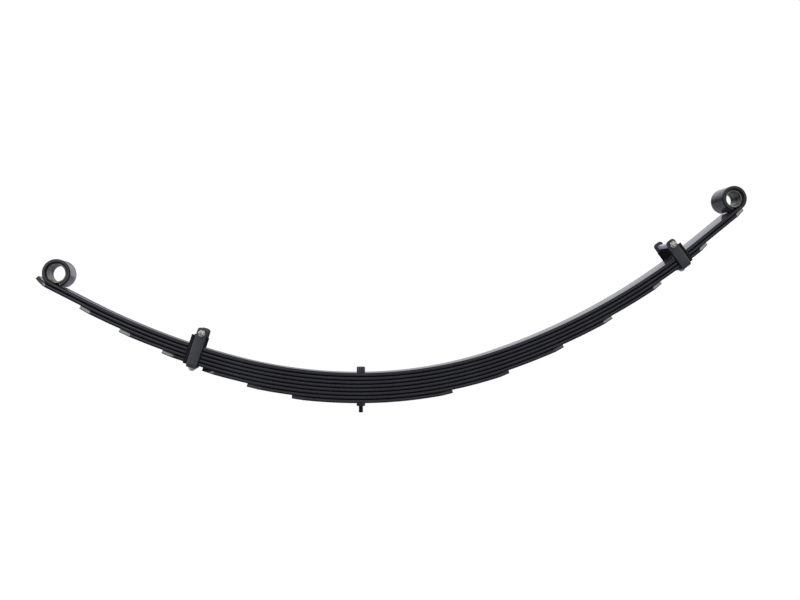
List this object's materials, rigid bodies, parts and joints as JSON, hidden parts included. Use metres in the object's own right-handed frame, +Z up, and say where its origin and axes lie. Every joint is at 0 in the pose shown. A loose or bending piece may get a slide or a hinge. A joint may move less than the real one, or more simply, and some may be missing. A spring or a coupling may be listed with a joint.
{
  "type": "leaf spring",
  "caption": "Semi-elliptic multi-leaf suspension spring with two rolled eyes, eye sleeves, a centre bolt and two bolted rebound clips.",
  "frame": {"origin": "on the centre bolt's axis, at the top of the main leaf, where the axle seat rests", "axes": "+X towards the rear eye, -X towards the front eye, +Z up, out of the concave side, along the centre bolt; Y across the leaves"},
  "size_m": [1.234, 0.0843, 0.3987],
  "materials": {
    "spring_steel": "satin black paint",
    "strap_steel": "satin grey paint",
    "liner_nylon": "moulded black nylon",
    "bolt_steel": "painted with the pack",
    "zinc_steel": "zinc plated",
    "spacer_steel": "zinc plated tube",
    "bare_steel": "oiled bare steel"
  },
  "bodies": {
    "centre": {"leaf_1_main": "spring_steel", "leaf_2_wrap": "spring_steel", "leaf_3": "spring_steel", "leaf_4": "spring_steel", "leaf_5": "spring_steel", "leaf_6": "spring_steel", "leaf_7": "spring_steel", "leaf_8": "spring_steel", "centre_bolt": "bolt_steel", "centre_nut": "bolt_steel"},
    "front_clip": {"front_clip_strap": "strap_steel", "front_clip_liner": "liner_nylon", "front_clip_bolt": "zinc_steel", "front_clip_nut": "zinc_steel", "front_clip_spacer": "spacer_steel", "front_clip_rivet": "bolt_steel"},
    "front_eye": {"front_eye_sleeve": "bare_steel"},
    "rear_end": {"rear_clip_strap": "strap_steel", "rear_clip_liner": "liner_nylon", "rear_clip_bolt": "zinc_steel", "rear_clip_nut": "zinc_steel", "rear_clip_spacer": "spacer_steel", "rear_clip_rivet": "bolt_steel", "rear_eye_sleeve": "bare_steel"}
  },
  "joints": [
    {"name": "front_arm_bend", "type": "hinge", "parent": "centre", "child": "front_clip", "pos_m": [-0.1552, 0, 0.01124], "axis": [0, -1, 0], "range_deg": [-1.5, 6], "stiffness_Nm_per_rad": 5600, "deforming": ["leaf_1_main", "leaf_2_wrap", "leaf_3", "leaf_4", "leaf_5", "leaf_6", "leaf_7", "leaf_8"]},
    {"name": "front_eye_bend", "type": "hinge", "parent": "front_clip", "child": "front_eye", "pos_m": [-0.39865, 0, 0.08951], "axis": [0, -1, 0], "range_deg": [-1.5, 6], "stiffness_Nm_per_rad": 1900, "deforming": ["leaf_1_main", "leaf_2_wrap"]},
    {"name": "rear_arm_bend", "type": "hinge", "parent": "centre", "child": "rear_end", "pos_m": [0.31117, 0, 0.06269], "axis": [0, 1, 0], "range_deg": [-1.5, 12], "stiffness_Nm_per_rad": 2200, "deforming": ["leaf_1_main", "leaf_2_wrap", "leaf_3", "leaf_4", "leaf_5", "leaf_6", "leaf_7", "leaf_8"]}
  ],
  "couplings": [
    {"joint": "front_eye_bend", "follows": "front_arm_bend", "ratio": 1}
  ]
}
